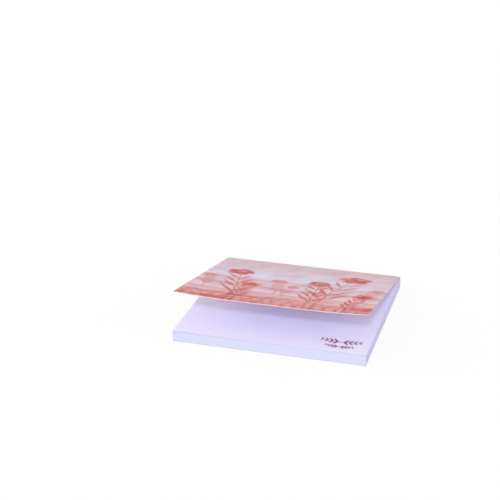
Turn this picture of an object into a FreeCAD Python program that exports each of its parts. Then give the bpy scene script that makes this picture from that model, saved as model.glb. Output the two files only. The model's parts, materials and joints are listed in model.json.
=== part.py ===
"""Pad of sticky notes in a soft card cover.

A square block of thin notes lies on the back panel of a folded strip of card.
The strip turns up at a crease behind the block, as the spine, and over at a
second crease, as the front panel. The front panel stands half open, and its
two front corners are curled up.

Frame: millimetres, X across the pad, Y from its front edge (-) to its spine
(+), Z up. The origin is the middle of the underside.
"""
import FreeCAD, Part
import os
from math import asin, cos, pi, sin
import Sketcher

# Driving dimensions, in millimetres and degrees
DIMENSIONS = {
    "pad_width": 75.0,
    "block_depth": 74.4,
    "block_height": 3.9,
    "card": 0.3,
    "rear_gap": 0.3,
    "closed_gap": 0.3,
    "crease_gap": 0.05,
    "opening_angle": 11.2,
    "corner_curl": 0.9,
    "curl_width": 25.5,
}

# Places worked out from the dimensions, as expressions of the sheet
CREASE_Y = "((dims.block_depth + dims.rear_gap) / 2)"
FRONT_Y = "((dims.block_depth + dims.rear_gap + dims.card) / 2)"
LOWER_CREASE_Z = "(dims.card / 2)"
SPINE_REACH = "(dims.block_height + dims.closed_gap + dims.card)"
PANEL_START = "(dims.card / 2 + dims.crease_gap)"
PANEL_REACH = f"({CREASE_Y} + {FRONT_Y})"

doc = FreeCAD.newDocument("sticky_note_pad")


def fill_sheet():
    """The spreadsheet of driving dimensions, one named row for each."""
    sheet = doc.addObject("Spreadsheet::Sheet", "dims")
    for row, (alias, value) in enumerate(DIMENSIONS.items(), start=1):
        sheet.set(f"A{row}", alias)
        sheet.set(f"B{row}", str(value))
        sheet.setAlias(f"B{row}", alias)
    doc.recompute()
    return sheet


dims = fill_sheet()


def new_body(label):
    """An empty body under the name of its sub-part."""
    body = doc.addObject("PartDesign::Body", label)
    body.Label = label
    return body


def new_sketch(body, name, role, offset=None):
    """A sketch on one of the body's own planes, moved along its normal by an expression."""
    plane = next(item for item in body.Origin.OriginFeatures if item.Role == role)
    sketch = body.newObject("Sketcher::SketchObject", name)
    sketch.AttachmentSupport = [(plane, "")]
    sketch.MapMode = "FlatFace"
    if offset is not None:
        sketch.setExpression("AttachmentOffset.Base.z", offset)
    return sketch


def bind(sketch, constraint, name, expression):
    """Adds a constraint under a name, with its size from the sheet."""
    index = sketch.addConstraint(constraint)
    sketch.renameConstraint(index, name)
    sketch.setExpression(f"Constraints.{name}", expression)


def place(body, y, z):
    """Puts a body's own origin at a place in the pad's middle plane."""
    body.setExpression("Placement.Base.y", y)
    body.setExpression("Placement.Base.z", z)


def across(body, sketch, name):
    """Pads a side profile evenly to both sides, over the pad's width."""
    pad = body.newObject("PartDesign::Pad", name)
    pad.Profile = sketch
    pad.Midplane = True
    pad.setExpression("Length", "dims.pad_width")
    return pad


# Sketcher's numbers for the ends and centre of an edge, and for its own axes
START, END, CENTRE = range(1, 4)
HORIZONTAL_AXIS, VERTICAL_AXIS = range(-1, -3, -1)
ORIGIN = (HORIZONTAL_AXIS, START)


def closed_loop(sketch, edges):
    """Joins each edge's end to the next one's start, and the last to the first."""
    for here, there in zip(edges, edges[1:] + edges[:1]):
        sketch.addConstraint(Sketcher.Constraint("Coincident", here, END, there, START))


def rectangle(sketch, corners):
    """Four lines round a box, level and upright, through the given rough corners."""
    points = [FreeCAD.Vector(x, y, 0) for x, y in corners]
    lines = [
        sketch.addGeometry(Part.LineSegment(here, there))
        for here, there in zip(points, points[1:] + points[:1])
    ]
    closed_loop(sketch, lines)
    for line in lines[0::2]:
        sketch.addConstraint(Sketcher.Constraint("Horizontal", line))
    for line in lines[1::2]:
        sketch.addConstraint(Sketcher.Constraint("Vertical", line))
    return lines


def make_note_block():
    """The block of notes, seen from above: its rear edge lies on the body's X axis."""
    body = new_body("note_block")
    outline = new_sketch(body, "sheet_outline", "XY_Plane")
    half = dims.pad_width / 2
    depth = dims.block_depth
    front, right, rear, left = rectangle(
        outline, [(-half, -depth), (half, -depth), (half, 0), (-half, 0)]
    )
    outline.addConstraint(Sketcher.Constraint("PointOnObject", rear, START, HORIZONTAL_AXIS))
    half_width = Sketcher.Constraint("DistanceX", rear, END, *ORIGIN, half)
    bind(outline, half_width, "half_width", "dims.pad_width / 2")
    bind(outline, Sketcher.Constraint("Distance", rear, 2 * half), "width", "dims.pad_width")
    bind(outline, Sketcher.Constraint("Distance", right, depth), "depth", "dims.block_depth")
    stack = body.newObject("PartDesign::Pad", "stack_of_notes")
    stack.Profile = outline
    stack.setExpression("Length", "dims.block_height")
    place(body, f"{FRONT_Y} - dims.card - dims.rear_gap", "dims.card")
    return body


def make_back_cover():
    """The card under the block: a flat panel that ends just before the lower crease."""
    body = new_body("back_cover")
    section = new_sketch(body, "panel_section", "YZ_Plane")
    half_card = dims.card / 2
    start = -half_card - dims.crease_gap
    reach = -dims.block_depth
    bottom, rear, top, front = rectangle(
        section, [(reach, -half_card), (start, -half_card), (start, half_card), (reach, half_card)]
    )
    below = Sketcher.Constraint("DistanceY", bottom, START, *ORIGIN, half_card)
    bind(section, below, "half_thickness", "dims.card / 2")
    bind(section, Sketcher.Constraint("Distance", rear, dims.card), "thickness", "dims.card")
    near = Sketcher.Constraint("DistanceX", bottom, END, *ORIGIN, -start)
    bind(section, near, "start", PANEL_START)
    far = Sketcher.Constraint("DistanceX", bottom, START, *ORIGIN, -reach)
    bind(section, far, "reach", PANEL_REACH)
    across(body, section, "panel")
    place(body, CREASE_Y, LOWER_CREASE_Z)
    return body


def make_spine():
    """The card behind the block, with a full round on each crease line."""
    body = new_body("spine")
    section = new_sketch(body, "spine_section", "YZ_Plane")
    radius = dims.card / 2
    reach = dims.block_height
    normal = FreeCAD.Vector(0, 0, 1)
    lower = Part.Circle(FreeCAD.Vector(0, 0, 0), normal, radius)
    upper = Part.Circle(FreeCAD.Vector(0, reach, 0), normal, radius)
    lower_round, outside, upper_round, inside = [
        section.addGeometry(edge)
        for edge in (
            Part.ArcOfCircle(lower, pi, 2 * pi),
            Part.LineSegment(FreeCAD.Vector(radius, 0, 0), FreeCAD.Vector(radius, reach, 0)),
            Part.ArcOfCircle(upper, 0, pi),
            Part.LineSegment(FreeCAD.Vector(-radius, reach, 0), FreeCAD.Vector(-radius, 0, 0)),
        )
    ]
    edges = [lower_round, outside, upper_round, inside]
    for here, there in zip(edges, edges[1:] + edges[:1]):
        section.addConstraint(Sketcher.Constraint("Tangent", here, END, there, START))
    section.addConstraint(Sketcher.Constraint("Vertical", outside))
    section.addConstraint(Sketcher.Constraint("Equal", lower_round, upper_round))
    section.addConstraint(Sketcher.Constraint("Coincident", lower_round, CENTRE, *ORIGIN))
    bind(section, Sketcher.Constraint("Radius", lower_round, radius), "round", "dims.card / 2")
    bind(section, Sketcher.Constraint("Distance", outside, reach), "reach", SPINE_REACH)
    across(body, section, "spine_panel")
    place(body, CREASE_Y, LOWER_CREASE_Z)
    return body


def crease_section(body):
    """The front panel cut across beside its crease: a flat strip, divided where the curl begins."""
    sketch = new_sketch(body, "crease_section", "XZ_Plane", PANEL_START)
    half_card = dims.card / 2
    edge = dims.pad_width / 2
    flat = edge - dims.curl_width
    corners = [(-edge, -half_card), (-flat, -half_card), (flat, -half_card), (edge, -half_card)]
    corners += [(x, half_card) for x, _ in reversed(corners)]
    points = [FreeCAD.Vector(x, z, 0) for x, z in corners]
    lines = [
        sketch.addGeometry(Part.LineSegment(here, there))
        for here, there in zip(points, points[1:] + points[:1])
    ]
    closed_loop(sketch, lines)
    low_left, low_middle, low_right, right_end, high_right, high_middle, high_left, left_end = lines
    for line in (low_left, low_middle, low_right, high_right, high_middle, high_left):
        sketch.addConstraint(Sketcher.Constraint("Horizontal", line))
    for line in (right_end, left_end):
        sketch.addConstraint(Sketcher.Constraint("Vertical", line))
    sketch.addConstraint(Sketcher.Constraint("Vertical", low_middle, START, high_middle, END))
    sketch.addConstraint(Sketcher.Constraint("Vertical", low_middle, END, high_middle, START))
    below = Sketcher.Constraint("DistanceY", low_left, START, *ORIGIN, half_card)
    bind(sketch, below, "half_thickness", "dims.card / 2")
    bind(sketch, Sketcher.Constraint("Distance", right_end, dims.card), "thickness", "dims.card")
    half_width = Sketcher.Constraint("DistanceX", low_left, START, *ORIGIN, edge)
    bind(sketch, half_width, "half_width", "dims.pad_width / 2")
    for line, name in ((low_left, "curl_left"), (low_right, "curl_right")):
        bind(sketch, Sketcher.Constraint("Distance", line, dims.curl_width), name, "dims.curl_width")
    middle = Sketcher.Constraint("Distance", low_middle, 2 * flat)
    bind(sketch, middle, "flat_width", "dims.pad_width - 2 * dims.curl_width")
    return sketch


def edge_section(body):
    """The front panel cut across at its front edge: flat in the middle, and each side on a pair of
    arcs with one centre, which leave the middle smoothly and carry the corner up by the curl."""
    sketch = new_sketch(body, "edge_section", "XZ_Plane", PANEL_REACH)
    half_card = dims.card / 2
    edge = dims.pad_width / 2
    flat = edge - dims.curl_width
    outer = (dims.curl_width**2 + dims.corner_curl**2) / (2 * dims.corner_curl)
    inner = outer - dims.card
    turn = asin(dims.curl_width / outer)
    lowest = -pi / 2
    normal = FreeCAD.Vector(0, 0, 1)

    def arc(side, radius):
        """One side's arc, from the flat middle to the corner."""
        circle = Part.Circle(FreeCAD.Vector(side * flat, outer - half_card, 0), normal, radius)
        first, last = sorted((lowest, lowest + side * turn))
        return sketch.addGeometry(Part.ArcOfCircle(circle, first, last))

    def line(first, last):
        """A straight edge between two points."""
        return sketch.addGeometry(Part.LineSegment(FreeCAD.Vector(*first), FreeCAD.Vector(*last)))

    def corner(side, radius):
        """The outer end of one side's arc."""
        return (side * (flat + radius * sin(turn)), outer - half_card - radius * cos(turn), 0)

    low_left = arc(-1, outer)
    low_middle = line((-flat, -half_card, 0), (flat, -half_card, 0))
    low_right = arc(1, outer)
    right_end = line(corner(1, outer), corner(1, inner))
    high_right = arc(1, inner)
    high_middle = line((flat, half_card, 0), (-flat, half_card, 0))
    high_left = arc(-1, inner)
    left_end = line(corner(-1, inner), corner(-1, outer))

    for first, second in (
        ((low_left, END), (low_middle, START)),
        ((low_middle, END), (low_right, START)),
        ((high_right, START), (high_middle, START)),
        ((high_middle, END), (high_left, END)),
    ):
        sketch.addConstraint(Sketcher.Constraint("Tangent", *first, *second))
    for first, second in (
        ((low_right, END), (right_end, START)),
        ((right_end, END), (high_right, END)),
        ((high_left, START), (left_end, START)),
        ((left_end, END), (low_left, START)),
        ((low_left, CENTRE), (high_left, CENTRE)),
        ((low_right, CENTRE), (high_right, CENTRE)),
    ):
        sketch.addConstraint(Sketcher.Constraint("Coincident", *first, *second))
    sketch.addConstraint(Sketcher.Constraint("PointOnObject", low_right, CENTRE, right_end))
    sketch.addConstraint(Sketcher.Constraint("PointOnObject", low_left, CENTRE, left_end))
    sketch.addConstraint(
        Sketcher.Constraint("Symmetric", low_middle, START, low_middle, END, VERTICAL_AXIS)
    )
    sketch.addConstraint(
        Sketcher.Constraint("Symmetric", low_left, START, low_right, END, VERTICAL_AXIS)
    )
    sketch.addConstraint(Sketcher.Constraint("Horizontal", high_middle))
    below = Sketcher.Constraint("DistanceY", low_middle, START, *ORIGIN, half_card)
    bind(sketch, below, "half_thickness", "dims.card / 2")
    thick = Sketcher.Constraint("DistanceY", low_middle, END, high_middle, START, dims.card)
    bind(sketch, thick, "thickness", "dims.card")
    wide = Sketcher.Constraint("DistanceX", low_middle, END, low_right, END, dims.curl_width)
    bind(sketch, wide, "curl_width", "dims.curl_width")
    rise = Sketcher.Constraint("DistanceY", low_middle, END, low_right, END, dims.corner_curl)
    bind(sketch, rise, "corner_curl", "dims.corner_curl")
    middle = Sketcher.Constraint("Distance", low_middle, 2 * flat)
    bind(sketch, middle, "flat_width", "dims.pad_width - 2 * dims.curl_width")
    return sketch


def make_front_cover():
    """The raised front panel, lofted from its straight crease to its curled front edge."""
    body = new_body("front_cover")
    start = crease_section(body)
    end = edge_section(body)
    panel = body.newObject("PartDesign::AdditiveLoft", "curled_panel")
    panel.Profile = start
    panel.Sections = [end]
    panel.Ruled = True
    body.Placement.Rotation = FreeCAD.Rotation(FreeCAD.Vector(-1, 0, 0), dims.opening_angle)
    body.setExpression("Placement.Rotation.Angle", "dims.opening_angle")
    place(body, CREASE_Y, f"{LOWER_CREASE_Z} + {SPINE_REACH}")
    return body


def check_document():
    """Stops if any object of the document failed, or if a sub-part isn't one valid solid."""
    for item in doc.Objects:
        if "Invalid" in item.State or "Error" in item.State:
            raise RuntimeError(f"{item.Name} failed: {item.State}")
    for body in pieces:
        if body.Shape.isNull() or not body.Shape.isValid() or len(body.Shape.Solids) != 1:
            raise RuntimeError(f"{body.Label} is not one valid solid")


pieces = [make_note_block(), make_back_cover(), make_spine(), make_front_cover()]
doc.recompute()
check_document()

os.makedirs("parts", exist_ok=True)
for piece in pieces:
    piece.Shape.exportStep(f"parts/{piece.Label}.step")
    print(piece.Label, round(piece.Shape.Volume, 2), piece.Shape.BoundBox)
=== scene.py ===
"""A pad of sticky notes in a soft card cover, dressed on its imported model.

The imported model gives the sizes, the two crease lines and the bodies. This
script adds the notes one by one, the folded card in two flowing sheets, their
paper finishes, a plain studio and the camera. Lengths are metres, X runs
across the pad, Y from its open front edge to its spine, and Z up.
"""
import json
import logging
import math
from dataclasses import dataclass
from enum import Enum
from typing import Sequence

import bpy
import numpy as np
from mathutils import Matrix, Vector


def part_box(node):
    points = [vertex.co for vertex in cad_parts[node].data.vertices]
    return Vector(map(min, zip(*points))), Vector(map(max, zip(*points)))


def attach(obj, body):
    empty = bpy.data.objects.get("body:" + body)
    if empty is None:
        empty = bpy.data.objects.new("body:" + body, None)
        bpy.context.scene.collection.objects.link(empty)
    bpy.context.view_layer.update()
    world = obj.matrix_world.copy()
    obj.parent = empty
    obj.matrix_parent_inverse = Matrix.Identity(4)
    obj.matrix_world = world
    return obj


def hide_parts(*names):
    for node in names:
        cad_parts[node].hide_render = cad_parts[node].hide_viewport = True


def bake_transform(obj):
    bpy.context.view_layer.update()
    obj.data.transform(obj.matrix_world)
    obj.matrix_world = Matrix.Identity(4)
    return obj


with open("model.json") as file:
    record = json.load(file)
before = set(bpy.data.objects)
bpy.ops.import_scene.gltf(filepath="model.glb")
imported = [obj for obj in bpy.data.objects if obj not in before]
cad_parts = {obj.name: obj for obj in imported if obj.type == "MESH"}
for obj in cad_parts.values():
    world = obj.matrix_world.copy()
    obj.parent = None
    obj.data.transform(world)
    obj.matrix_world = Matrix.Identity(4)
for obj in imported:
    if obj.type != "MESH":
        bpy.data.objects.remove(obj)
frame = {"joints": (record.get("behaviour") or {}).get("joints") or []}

LOG = logging.getLogger("sticky_note_pad")
MM = 0.001


@dataclass(frozen=True)
class PadSizes:
    """The pad's sizes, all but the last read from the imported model.

    Attributes:
        width: Side to side, the same for the notes and the card.
        front: Y of the front edge of the block and of the closed cover.
        rear: Y of the block's rear edge.
        card: Thickness of the card.
        bottom: Z of the block's underside.
        top: Z of the block's upper face.
        lower_crease: Y and Z of the crease between back panel and spine.
        upper_crease: Y and Z of the crease between spine and front panel.
        opening: Angle of the raised front panel above the block, in radians.
        reach: Distance from a crease to the front edge of its panel.
        corner_curl: How far the front panel's corners stand above its middle.
        curl_width: Width of the curled stretch at each side of the panel.
    """

    width: float
    front: float
    rear: float
    card: float
    bottom: float
    top: float
    lower_crease: tuple[float, float]
    upper_crease: tuple[float, float]
    opening: float
    reach: float
    corner_curl: float
    curl_width: float = 25.5 * MM

    @classmethod
    def from_frame(cls) -> "PadSizes":
        """Reads the sizes from the nodes' boxes and the two hinge lines.

        Returns:
            The sizes of this pad.
        """
        block_low, block_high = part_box("note_block")
        back_low, back_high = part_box("back_cover")
        panel_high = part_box("front_cover")[1]
        hinges = {joint["name"]: joint for joint in frame["joints"]}
        lower = hinges["spine_fold"]["pos_m"]
        upper = hinges["cover_fold"]["pos_m"]
        opening = math.radians(-hinges["cover_fold"]["range_deg"][0])
        card = back_high.z - back_low.z
        reach = upper[1] - back_low.y
        corner = (panel_high.z - upper[2] - reach * math.sin(opening)) / math.cos(opening)
        return cls(
            width=block_high.x - block_low.x,
            front=block_low.y,
            rear=block_high.y,
            card=card,
            bottom=block_low.z,
            top=block_high.z,
            lower_crease=(lower[1], lower[2]),
            upper_crease=(upper[1], upper[2]),
            opening=opening,
            reach=reach,
            corner_curl=corner - card / 2,
        )


class Side(Enum):
    """The three kinds of face of a sheet, in the order of its material slots."""

    OUTER = 0
    INNER = 1
    RIM = 2


def placed(name: str, data: bpy.types.ID) -> bpy.types.Object:
    """Puts a new object into the scene, at the origin.

    Args:
        name: Name of the object.
        data: Its mesh, lamp or camera.

    Returns:
        The object.
    """
    carrier = bpy.data.objects.new(name, data)
    bpy.context.scene.collection.objects.link(carrier)
    return carrier


@dataclass
class Surface:
    """A mesh as arrays, before it goes into Blender.

    Attributes:
        points: Vertex places, one row each.
        faces: Vertex numbers of each face, four a row.
        sides: Material slot of each face.
        uv: Place of each vertex on the sheet, or None.
        sharp_angle: Angle between two faces above which their edge is sharp.
    """

    points: np.ndarray
    faces: np.ndarray
    sides: np.ndarray
    uv: np.ndarray | None = None
    sharp_angle: float = math.radians(35)

    def turned_out(self) -> "Surface":
        """Turns all faces round if the closed surface encloses a negative volume.

        The volume is the sum over the faces' triangles of a third of each
        triangle's area times its distance from the origin.

        Returns:
            This surface, with its faces outwards.
        """
        a, b, c, d = (self.points[self.faces[:, k]] for k in range(4))
        volume = np.einsum("ij,ij->", a, np.cross(b, c)) + np.einsum("ij,ij->", a, np.cross(c, d))
        if volume < 0:
            self.faces = self.faces[:, ::-1].copy()
        return self

    def into_object(self, name: str) -> bpy.types.Object:
        """Makes a Blender object, with smooth faces between its sharp edges.

        Args:
            name: Name of the object and its mesh.

        Returns:
            The new object, at the origin and in the scene.
        """
        mesh = bpy.data.meshes.new(name)
        mesh.from_pydata(self.points.tolist(), [], self.faces.tolist())
        mesh.polygons.foreach_set("material_index", self.sides.astype(np.int32))
        mesh.polygons.foreach_set("use_smooth", np.ones(len(self.faces), bool))
        if self.uv is not None:
            corners = np.zeros(len(mesh.loops), np.int32)
            mesh.loops.foreach_get("vertex_index", corners)
            layer = mesh.uv_layers.new(name="sheet")
            layer.uv.foreach_set("vector", self.uv[corners].astype(np.float32).ravel())
        mesh.update()
        mesh.set_sharp_from_angle(angle=self.sharp_angle)
        return placed(name, mesh)


def dress(piece: bpy.types.Object, finishes: Sequence[bpy.types.Material]) -> None:
    """Gives a piece its materials, in the order of its sides, and reports it.

    Args:
        piece: The piece.
        finishes: Its materials.
    """
    for finish in finishes:
        piece.data.materials.append(finish)
    LOG.info("%s: %d faces", piece.name, len(piece.data.polygons))


def joined(surfaces: Sequence[Surface]) -> Surface:
    """Puts several surfaces into one, with their vertex numbers moved on.

    Args:
        surfaces: The surfaces to join, none with a UV map.

    Returns:
        One surface with all their faces.
    """
    starts = np.cumsum([0] + [len(s.points) for s in surfaces[:-1]])
    return Surface(
        points=np.concatenate([s.points for s in surfaces]),
        faces=np.concatenate([s.faces + start for s, start in zip(surfaces, starts)]),
        sides=np.concatenate([s.sides for s in surfaces]),
    )


def sheet_solid(middle: np.ndarray, thickness: float, uv: np.ndarray | None = None) -> Surface:
    """Gives a surface its thickness, as a closed sheet with a plain cut rim.

    The outer face is the middle surface moved by half the thickness along its
    normal, which is the cross product of the steps along columns and rows, and
    the inner face is moved the other way. The rim joins their borders.

    Args:
        middle: Places of the middle surface, as rows by columns by three.
        thickness: Distance between the two faces.
        uv: Place of each grid point on the sheet, as rows by columns by two.

    Returns:
        The closed sheet.
    """
    rows, columns = middle.shape[:2]
    along_rows, along_columns = np.gradient(middle, axis=(0, 1))
    normal = np.cross(along_columns, along_rows)
    normal /= np.linalg.norm(normal, axis=2, keepdims=True)
    outer = middle + normal * thickness / 2
    inner = middle - normal * thickness / 2
    number = np.arange(rows * columns).reshape(rows, columns)
    quads = np.stack(
        [number[:-1, :-1], number[:-1, 1:], number[1:, 1:], number[1:, :-1]], axis=-1
    ).reshape(-1, 4)
    border = np.concatenate([number[0, :-1], number[:-1, -1], number[-1, :0:-1], number[:0:-1, 0]])
    after = np.roll(border, -1)
    below = rows * columns
    rim = np.stack([after, border, border + below, after + below], axis=-1)
    return Surface(
        points=np.concatenate([outer.reshape(-1, 3), inner.reshape(-1, 3)]),
        faces=np.concatenate([quads, quads[:, ::-1] + below, rim]),
        sides=np.repeat([side.value for side in Side], [len(quads), len(quads), len(rim)]),
        uv=None if uv is None else np.concatenate([uv.reshape(-1, 2)] * 2),
    ).turned_out()


@dataclass(frozen=True)
class Value:
    """The output of a node, on which the signs of arithmetic add Math nodes.

    Attributes:
        nodes: The nodes that it is among.
        socket: The output.
    """

    nodes: "Nodes"
    socket: bpy.types.NodeSocket

    def __add__(self, other: object) -> "Value":
        """This value and another."""
        return self.nodes.math("ADD", self, other)

    def __sub__(self, other: object) -> "Value":
        """This value less another."""
        return self.nodes.math("SUBTRACT", self, other)

    def __rsub__(self, other: float) -> "Value":
        """A number less this value."""
        return self.nodes.math("SUBTRACT", other, self)

    def __mul__(self, other: object) -> "Value":
        """This value times another."""
        return self.nodes.math("MULTIPLY", self, other)

    def __truediv__(self, other: object) -> "Value":
        """This value divided by another."""
        return self.nodes.math("DIVIDE", self, other)

    def __abs__(self) -> "Value":
        """This value without its sign."""
        return self.nodes.math("ABSOLUTE", self)


class Nodes:
    """Short calls for building one node tree."""

    def __init__(self, tree: bpy.types.NodeTree) -> None:
        """Keeps the tree that the calls add to."""
        self.tree = tree

    def feed(self, socket: bpy.types.NodeSocket, value: object) -> None:
        """Links an output to an input socket, or sets the socket's own value.

        Args:
            socket: The input socket.
            value: A value, an output socket, a number, or a sequence of numbers.
        """
        source = value.socket if isinstance(value, Value) else value
        if isinstance(source, bpy.types.NodeSocket):
            self.tree.links.new(source, socket)
        else:
            socket.default_value = source

    def add(self, kind: str, inputs: dict | None = None, **settings: object) -> bpy.types.Node:
        """Adds a node, sets its properties and feeds its inputs.

        Args:
            kind: Blender's name of the node's type.
            inputs: What its inputs are fed, by their names or numbers.
            settings: Properties of the node and their values.

        Returns:
            The new node.
        """
        node = self.tree.nodes.new(kind)
        for name, value in settings.items():
            setattr(node, name, value)
        for key, value in (inputs or {}).items():
            self.feed(node.inputs[key], value)
        return node

    def math(self, operation: str, *values: object) -> Value:
        """The result of a Math node on some values."""
        node = self.add("ShaderNodeMath", dict(enumerate(values)), operation=operation)
        return Value(self, node.outputs[0])

    def vector(self, operation: str, *values: object, output: str = "Vector") -> Value:
        """The result of a Vector Math node on some vectors."""
        node = self.add("ShaderNodeVectorMath", dict(enumerate(values)), operation=operation)
        return Value(self, node.outputs[output])

    def scaled(self, base: object, factor: object) -> Value:
        """A vector or a colour times a number."""
        node = self.add("ShaderNodeVectorMath", {0: base, "Scale": factor}, operation="SCALE")
        return Value(self, node.outputs[0])

    def parts(self, place: object) -> tuple[Value, Value]:
        """The first two parts of a vector."""
        outputs = self.add("ShaderNodeSeparateXYZ", {0: place}).outputs
        return Value(self, outputs[0]), Value(self, outputs[1])

    def step(self, value: object, low: object, high: object) -> Value:
        """A smooth step from 0, where the value is low, to 1, where it is high."""
        node = self.add("ShaderNodeMapRange", {"Value": value, "From Min": low, "From Max": high},
                        interpolation_type="SMOOTHSTEP")
        return Value(self, node.outputs["Result"])

    def mix(self, share: object, first: object, second: object) -> Value:
        """A mix of two colours, with the share of the second."""
        node = self.add("ShaderNodeMix", {0: share, 6: first, 7: second}, data_type="RGBA")
        return Value(self, node.outputs[2])

    def noise(self, place: object, scale: float, detail: float, output: int = 0) -> Value:
        """A noise from 0 to 1, with so many features to a unit, and so many finer layers."""
        inputs = {"Vector": place, "Scale": scale, "Detail": detail}
        return Value(self, self.add("ShaderNodeTexNoise", inputs).outputs[output])

    def wavering(self, place: object, scale: float, detail: float, reach: float) -> Value:
        """Moves a place by a slow noise, so that what is drawn at it has a hand's waver.

        Args:
            place: The place.
            scale: Waves for each unit of the place.
            detail: Number of finer layers of the noise.
            reach: Largest move.

        Returns:
            The moved place.
        """
        three_ways = self.noise(place, scale, detail, output=1)
        aside = self.vector("SUBTRACT", three_ways, (0.5, 0.5, 0.5))
        return self.vector("MULTIPLY_ADD", aside, (2 * reach, 2 * reach, 0.0), place)

    def group(self, tree: bpy.types.NodeTree, **inputs: object) -> dict[str, Value]:
        """Places a node group.

        Args:
            tree: The group.
            inputs: Its inputs by name, with spaces written as underscores.

        Returns:
            Its outputs by name.
        """
        named = {name.replace("_", " "): value for name, value in inputs.items()}
        node = self.add("ShaderNodeGroup", named, node_tree=tree)
        return {socket.name: Value(self, socket) for socket in node.outputs}


class NewGroup(Nodes):
    """A shader node group while it is built."""

    def __init__(self, name: str, vectors: Sequence[str], numbers: Sequence[str]) -> None:
        """Starts the group, and reads its inputs as values.

        Args:
            name: Name of the group.
            vectors: Names of the inputs that are vectors.
            numbers: Names of the inputs that are numbers.
        """
        super().__init__(bpy.data.node_groups.new(name, "ShaderNodeTree"))
        kinds = [("NodeSocketVector", vectors), ("NodeSocketFloat", numbers)]
        for kind, titles in kinds:
            for title in titles:
                self.tree.interface.new_socket(title, in_out="INPUT", socket_type=kind)
        self.read = {s.name: Value(self, s) for s in self.add("NodeGroupInput").outputs}

    def put_out(self, **outputs: Value) -> bpy.types.NodeTree:
        """Ends the group with its outputs, which are all numbers.

        Args:
            outputs: The outputs by name.

        Returns:
            The group.
        """
        for name in outputs:
            self.tree.interface.new_socket(name, in_out="OUTPUT", socket_type="NodeSocketFloat")
        self.add("NodeGroupOutput", outputs)
        return self.tree


def colour(red: int, green: int, blue: int) -> tuple[float, float, float, float]:
    """A colour written as screen values from 0 to 255, as Blender's linear values.

    Each value over 255 is taken to the power that undoes the screen's curve:
    ((v + 0.055) / 1.055) to the power 2.4, or v / 12.92 where it is very dark.

    Args:
        red: Red, from 0 to 255.
        green: Green, from 0 to 255.
        blue: Blue, from 0 to 255.

    Returns:
        Linear red, green and blue, and an alpha of 1.
    """
    values = [v / 255 for v in (red, green, blue)]
    linear = [v / 12.92 if v <= 0.04045 else ((v + 0.055) / 1.055) ** 2.4 for v in values]
    return (*linear, 1.0)


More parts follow.
